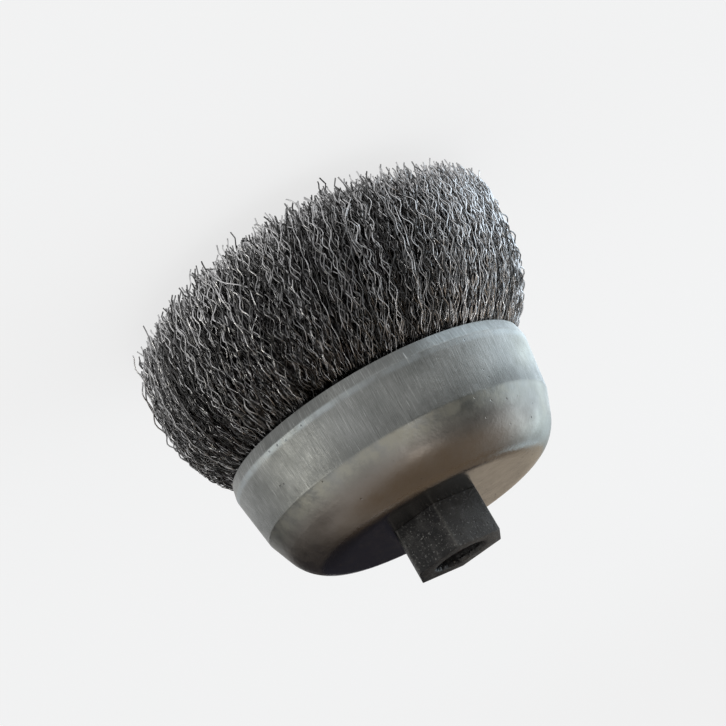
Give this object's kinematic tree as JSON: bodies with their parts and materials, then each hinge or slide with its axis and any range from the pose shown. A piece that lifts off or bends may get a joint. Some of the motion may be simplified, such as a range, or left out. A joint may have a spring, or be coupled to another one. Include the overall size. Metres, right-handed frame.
{
  "type": "crimped wire cup brush",
  "caption": "Drawn steel cup with a threaded hex arbor nut and a flared tuft of crimped steel wires, for cleaning metal on an angle grinder.",
  "frame": {"origin": "on the brush's axis, at the level of the lowest wire ends, on which the brush stands", "axes": "+Z along the brush's axis from the wire ends to the nut; two flats of the nut face +X and -X"},
  "size_m": [0.1022, 0.1022, 0.0875],
  "materials": {
    "cup_steel": "zinc-plated drawn steel, satin, with fine draw lines, scratches and pits",
    "plate_steel": "plain pressed steel",
    "nut_steel": "forged steel with a dull black oxide coat, rough",
    "ring_steel": "plain drawn steel",
    "wire_steel": "dark crimped steel wire with bright glints"
  },
  "bodies": {
    "root": {"cup": "cup_steel", "inner_plate": "plate_steel", "arbor_nut": "nut_steel", "holding_ring": "ring_steel", "wire_fill": "wire_steel"}
  },
  "joints": []
}
